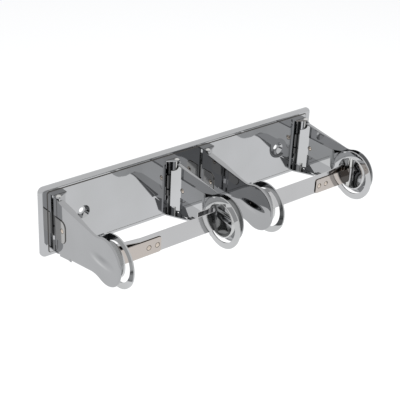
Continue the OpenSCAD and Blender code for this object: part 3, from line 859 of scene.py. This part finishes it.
@dataclass
class RingBracket:
    """A rear web, a bent leg and a slightly crowned ring, pressed from one sheet."""

    place: Place
    size: RingSize = field(default_factory=RingSize)

    def skin(self, radius: float) -> float:
        """Gives how far the ring's arm side lies inboard at a radius."""
        away = radius - self.size.hole
        return self.size.front - self.size.sheet - self.size.rake * away - self.size.crown * away * away

    def ring_point(self, radius: float, spoke: Vector) -> Point3:
        """Gives a point of the ring, in the arm's own frame, at a radius along a spoke."""
        size = self.size
        return (self.skin(radius), size.centre[0] + radius * spoke.x, size.centre[1] + radius * spoke.y)

    def spokes(self) -> list[Vector]:
        """Lists the ring's directions, those that carry the leg first."""
        size = self.size
        step = (size.flare_low - size.flare_top) / size.rows
        return [direction(size.flare_top + step * k) for k in range(size.round_steps)]

    def leg(self) -> list[list[Point3]]:
        """Lays out the leg from its foot to the ring.

        Returns:
            Columns of points in the arm's own frame, each from the top down.
        """
        size = self.size
        web, foot, end, flare = (Vector(v) for v in (size.web_end, size.foot, size.leg_end, size.flare))
        path = bend(web, foot, end, size.foot_fold, size.fold_steps)
        path += [Vector((foot.x, size.leg_middle))]
        path += bend(foot, end, flare, size.leg_fold, size.fold_steps) + [flare]
        shares = [1.0 - 2.0 * row / size.rows for row in range(size.rows + 1)]
        columns = [[(at.x, at.y, size.half * share) for share in shares] for at in path]
        start = columns[-1]
        rim = [self.ring_point(size.outer, spoke) for spoke in self.spokes()[: size.rows + 1]]
        for share in size.flare_shares:
            columns.append([
                tuple(a + (b - a) * share for a, b in zip(near, far)) for near, far in zip(start, rim)
            ])
        return columns

    def web(self, top: Point3) -> tuple[list[Point3], list[Point3]]:
        """Draws the rear web's edge above and below the leg.

        Args:
            top: the leg's top rear corner, at the start of the foot's fold.

        Returns:
            The points above, from the leg backwards, and those below, from the back to the leg.
        """
        size = self.size
        end = Vector(size.web_end)
        near = Vector((top[0], top[1]))
        back = (end - near).normalized()
        length = (end - near).length

        def at(run: float, z: float) -> Point3:
            """Gives the point of the web at a distance behind the leg and a height."""
            spot = near + back * run
            return (spot.x, spot.y, z)

        above = [at(0.0, size.web_top)]
        for step in range(size.hollow_steps + 1):
            turn = math.radians(90.0 * step / size.hollow_steps)
            wide = size.hollow * math.cos(turn) / math.cos(math.atan2(-back.x, -back.y) - math.pi)
            above.append(at(length - abs(wide), size.web_top - size.hollow * math.sin(turn)))
        notch = size.notch[0] / abs(back.y)
        below = [
            at(length, size.notch[1]), at(length - notch, size.notch[1]),
            at(length - notch, size.web_low), at(0.0, size.web_low),
        ]
        return above, below

    def build(self, kit: Kit) -> None:
        """Makes the bracket and lets it take its node's place.

        Args:
            kit: the nodes and finishes.
        """
        size = self.size
        mesh = bmesh.new()
        columns = self.leg()
        grid = [[mesh.verts.new(self.place.point(*point)) for point in column] for column in columns]
        rings = []
        for k in range(size.radial_steps + 1):
            radius = size.outer + (size.hole - size.outer) * k / size.radial_steps
            points = [self.ring_point(radius, spoke) for spoke in self.spokes()]
            rings.append([mesh.verts.new(self.place.point(*point)) for point in points])
        grid.append(rings[0][: size.rows + 1])
        for near, far in zip(grid, grid[1:]):
            for k in range(size.rows):
                mesh.faces.new((near[k], near[k + 1], far[k + 1], far[k]))
        for wide, slim in zip(rings, rings[1:]):
            for k in range(size.round_steps):
                after = (k + 1) % size.round_steps
                mesh.faces.new((wide[k], wide[after], slim[after], slim[k]))
        above, below = self.web(columns[0][0])
        rear = [mesh.verts.new(self.place.point(*point)) for point in above + below]
        mesh.faces.new(rear + list(reversed(grid[0])))
        bmesh.ops.recalc_face_normals(mesh, faces=mesh.faces[:])
        mesh.faces.ensure_lookup_table()
        # The first faces of the second bend, whose skin looks away from the roll.
        sample = mesh.faces[size.rows * (size.fold_steps + 2)]
        sample.normal_update()
        if (sample.normal.x > 0.0) != self.place.mirrored:
            bmesh.ops.reverse_faces(mesh, faces=mesh.faces[:])
        piece = sheet_piece(mesh, self.place.title + "_ring_sheet", size.sheet)
        kit.stand_in(piece, self.place.title + "_ring_bracket")


SHEARED_EDGE = Edge(width=0.3, segments=3, from_angle=50.0)
FLATS_FIRST = 100


def sheet_piece(mesh: bmesh.types.BMesh, name: str, thickness: float) -> Piece:
    """Turns one skin of a pressed part into a sheet with rounded edges.

    Args:
        mesh: the outer skin, which is used up.
        name: the piece's name.
        thickness: the sheet's thickness, laid behind the skin.

    Returns:
        The piece, not yet in the scene.
    """
    for face in mesh.faces:
        face.smooth = True
    data = bpy.data.meshes.new(name)
    mesh.to_mesh(data)
    mesh.free()
    piece = bpy.data.objects.new(name, data)
    solid = piece.modifiers.new("sheet", "SOLIDIFY")
    solid.thickness = thickness * MM
    solid.offset = -1.0
    solid.use_even_offset = True
    SHEARED_EDGE.put(piece)
    flat = piece.modifiers.new("flat", "WEIGHTED_NORMAL")
    flat.weight = FLATS_FIRST
    return piece


@dataclass(frozen=True)
class HubCup:
    """A drawn cup with a rolled lip, open to the roll."""

    place: Place
    rolled: Edge = Edge(width=0.55, segments=4, from_angle=30.0)

    def dress(self, kit: Kit) -> None:
        """Finishes the cup."""
        kit.dress(f"{self.place.title}_hub_cup", self.rolled, kit.finishes.cup)


@dataclass(frozen=True)
class RollBar:
    """A folded strip that turns on its cross pin, with two rivets through its tongue."""

    title: str
    strip_edge: Edge = Edge(width=0.3, segments=3, from_angle=40.0)
    head_edge: Edge = Edge(width=0.1, segments=2, from_angle=50.0)
    pin_edge: Edge = Edge(width=0.25, segments=2, from_angle=50.0)

    def dress(self, kit: Kit) -> None:
        """Finishes the bar, its rivets and its pin."""
        kit.dress(f"{self.title}_roll_bar", self.strip_edge)
        kit.dress(f"{self.title}_bar_rivets", self.head_edge)
        kit.dress(f"{self.title}_cross_pin", self.pin_edge)


@dataclass(frozen=True)
class WallPlate:
    """The pressed wall plate with its raised field and two screw dimples."""

    dents: tuple[Dent, ...] = (
        Dent(centre=(-118.0, 0.0, 0.0), plane=ACROSS_Y, full=5.0, none=12.0, depth=0.45),
        Dent(centre=(118.0, 0.0, 0.0), plane=ACROSS_Y, full=5.0, none=12.0, depth=0.45),
    )
    edge: Edge = Edge(width=0.7, segments=3, from_angle=35.0)

    def dress(self, kit: Kit) -> None:
        """Finishes the plate."""
        kit.dress("back_plate", self.edge, kit.finishes.plate)


@dataclass(frozen=True)
class Shot:
    """The photograph's camera, fitted to the outlines of the dispenser."""

    azimuth: float = -40.03
    elevation: float = 28.52
    roll: float = 2.85
    place: Point3 = (-559.1, -691.2, 457.6)
    focal_px: float = 1035.66
    frame_px: int = 400
    sensor: float = 36.0
    sight: float = 20000.0

    def build(self) -> None:
        """Makes the camera and gives it to the scene."""
        a, e, r = (math.radians(v) for v in (self.azimuth, self.elevation, self.roll))
        back = Vector((math.sin(a) * math.cos(e), -math.cos(a) * math.cos(e), math.sin(e)))
        level = Vector((math.cos(a), math.sin(a), 0.0))
        plumb = back.cross(level)
        right = level * math.cos(r) + plumb * math.sin(r)
        above = plumb * math.cos(r) - level * math.sin(r)
        data = bpy.data.cameras.new("photo_camera")
        data.sensor_width = self.sensor
        data.lens = self.sensor * self.focal_px / self.frame_px
        data.clip_end = self.sight * MM
        camera = bpy.data.objects.new("photo_camera", data)
        turn = Matrix((right, above, back)).transposed().to_4x4()
        camera.matrix_world = Matrix.Translation(Vector(self.place) * MM) @ turn
        bpy.context.scene.collection.objects.link(camera)
        bpy.context.scene.camera = camera


@dataclass(frozen=True)
class SoftBox:
    """A large square lamp that faces the dispenser, and that the chrome doesn't show as a hot spot."""

    name: str
    place: Point3
    size: float
    power: float

    def build(self) -> None:
        """Makes the lamp."""
        data = bpy.data.lights.new(self.name, "AREA")
        data.shape = "SQUARE"
        data.size = self.size * MM
        data.energy = self.power
        lamp = bpy.data.objects.new(self.name, data)
        lamp.visible_glossy = False
        lamp.location = Vector(self.place) * MM
        lamp.rotation_mode = "QUATERNION"
        lamp.rotation_quaternion = Vector(self.place).to_track_quat("Z", "Y")
        bpy.context.scene.collection.objects.link(lamp)


@dataclass(frozen=True)
class Floor:
    """A pale floor under the dispenser, part lit by itself: it stays white and still keeps a shadow."""

    height: float = -260.0
    half: float = 6000.0
    glow: Colour = WHITE
    paint: Colour = (0.9, 0.9, 0.9)
    paint_share: float = 0.35

    def build(self) -> None:
        """Makes the floor."""
        mesh = bpy.data.meshes.new("floor")
        reach = self.half * MM
        corners = [(-reach, -reach, 0), (reach, -reach, 0), (reach, reach, 0), (-reach, reach, 0)]
        mesh.from_pydata(corners, [], [(0, 1, 2, 3)])
        mesh.materials.append(self.finish())
        floor = bpy.data.objects.new("floor", mesh)
        floor.location = Vector((0.0, 0.0, self.height)) * MM
        bpy.context.scene.collection.objects.link(floor)

    def finish(self) -> Material:
        """Mixes the floor's own light with matt paint.

        Returns:
            The material.
        """
        material = bpy.data.materials.new("white_floor")
        material.use_nodes = True
        graph = NodeGraph(material.node_tree)
        glow = graph.add("ShaderNodeEmission", Color=(*self.glow, 1.0), Strength=1.0)
        matt = graph.add("ShaderNodeBsdfDiffuse", Color=(*self.paint, 1.0))
        mix = graph.add("ShaderNodeMixShader", Fac=self.paint_share)
        output = graph.add("ShaderNodeOutputMaterial")
        graph.link(glow.outputs[0], mix.inputs[1])
        graph.link(matt.outputs[0], mix.inputs[2])
        graph.link(mix.outputs[0], output.inputs["Surface"])
        return material


@dataclass
class Studio:
    """A plain white set with large soft lamps."""

    floor: Floor = Floor()
    lamps: tuple[SoftBox, ...] = (
        SoftBox("overhead_softbox", place=(200.0, -200.0, 1500.0), size=1400.0, power=26.0),
        SoftBox("left_softbox", place=(-1300.0, -700.0, 700.0), size=900.0, power=9.1),
    )
    room: Colour = (0.95, 0.97, 1.0)
    room_strength: float = 0.7
    mirror_bounces: int = 10
    all_bounces: int = 14

    def build(self) -> None:
        """Makes the world, the floor and the lamps."""
        self.make_world()
        self.floor.build()
        for lamp in self.lamps:
            lamp.build()
        scene = bpy.context.scene
        scene.view_settings.view_transform = "Standard"
        # Chrome faces chrome here: paths that were cut short sooner would leave white dots.
        scene.cycles.glossy_bounces = self.mirror_bounces
        scene.cycles.min_light_bounces = self.mirror_bounces
        scene.cycles.max_bounces = self.all_bounces

    def make_world(self) -> None:
        """Makes a world that is white to camera, glossy and transmitted rays and softer to the rest."""
        world = bpy.data.worlds.new("white_studio")
        world.use_nodes = True
        bpy.context.scene.world = world
        graph = NodeGraph(world.node_tree)
        plain = graph.add("ShaderNodeBackground", Color=(*self.room, 1.0), Strength=self.room_strength)
        white = graph.add("ShaderNodeBackground", Color=(*WHITE, 1.0), Strength=1.0)
        mix = graph.add("ShaderNodeMixShader")
        output = graph.add("ShaderNodeOutputWorld")
        graph.link(self.seen_rays(graph), mix.inputs["Fac"])
        graph.link(plain.outputs[0], mix.inputs[1])
        graph.link(white.outputs[0], mix.inputs[2])
        graph.link(mix.outputs[0], output.inputs["Surface"])

    def seen_rays(self, graph: NodeGraph) -> NodeSocket:
        """Adds up the rays that see the background as white.

        Args:
            graph: the tree that needs them.

        Returns:
            A socket that is 1 for camera, glossy and transmitted rays.
        """
        path = graph.add("ShaderNodeLightPath")
        first = graph.add("ShaderNodeMath", operation="MAXIMUM")
        second = graph.add("ShaderNodeMath", operation="MAXIMUM")
        graph.link(path.outputs["Is Camera Ray"], first.inputs[0])
        graph.link(path.outputs["Is Glossy Ray"], first.inputs[1])
        graph.link(first.outputs[0], second.inputs[0])
        graph.link(path.outputs["Is Transmission Ray"], second.inputs[1])
        return second.outputs[0]


def main() -> None:
    """Builds the dispenser, its camera and its studio."""
    logging.basicConfig(level=logging.INFO, format="%(name)s: %(message)s")
    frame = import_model()
    plate = WallPlate()
    kit = Kit(frame, Finishes(plate.dents))
    plate.dress(kit)
    for place in Place:
        Hinge(place).dress(kit)
        Arm(place).build(kit)
        RingBracket(place).build(kit)
        HubCup(place).dress(kit)
    for title in ("left", "right"):
        RollBar(title).dress(kit)
    Studio().build()
    Shot().build()


if __name__ == "__main__":
    main()
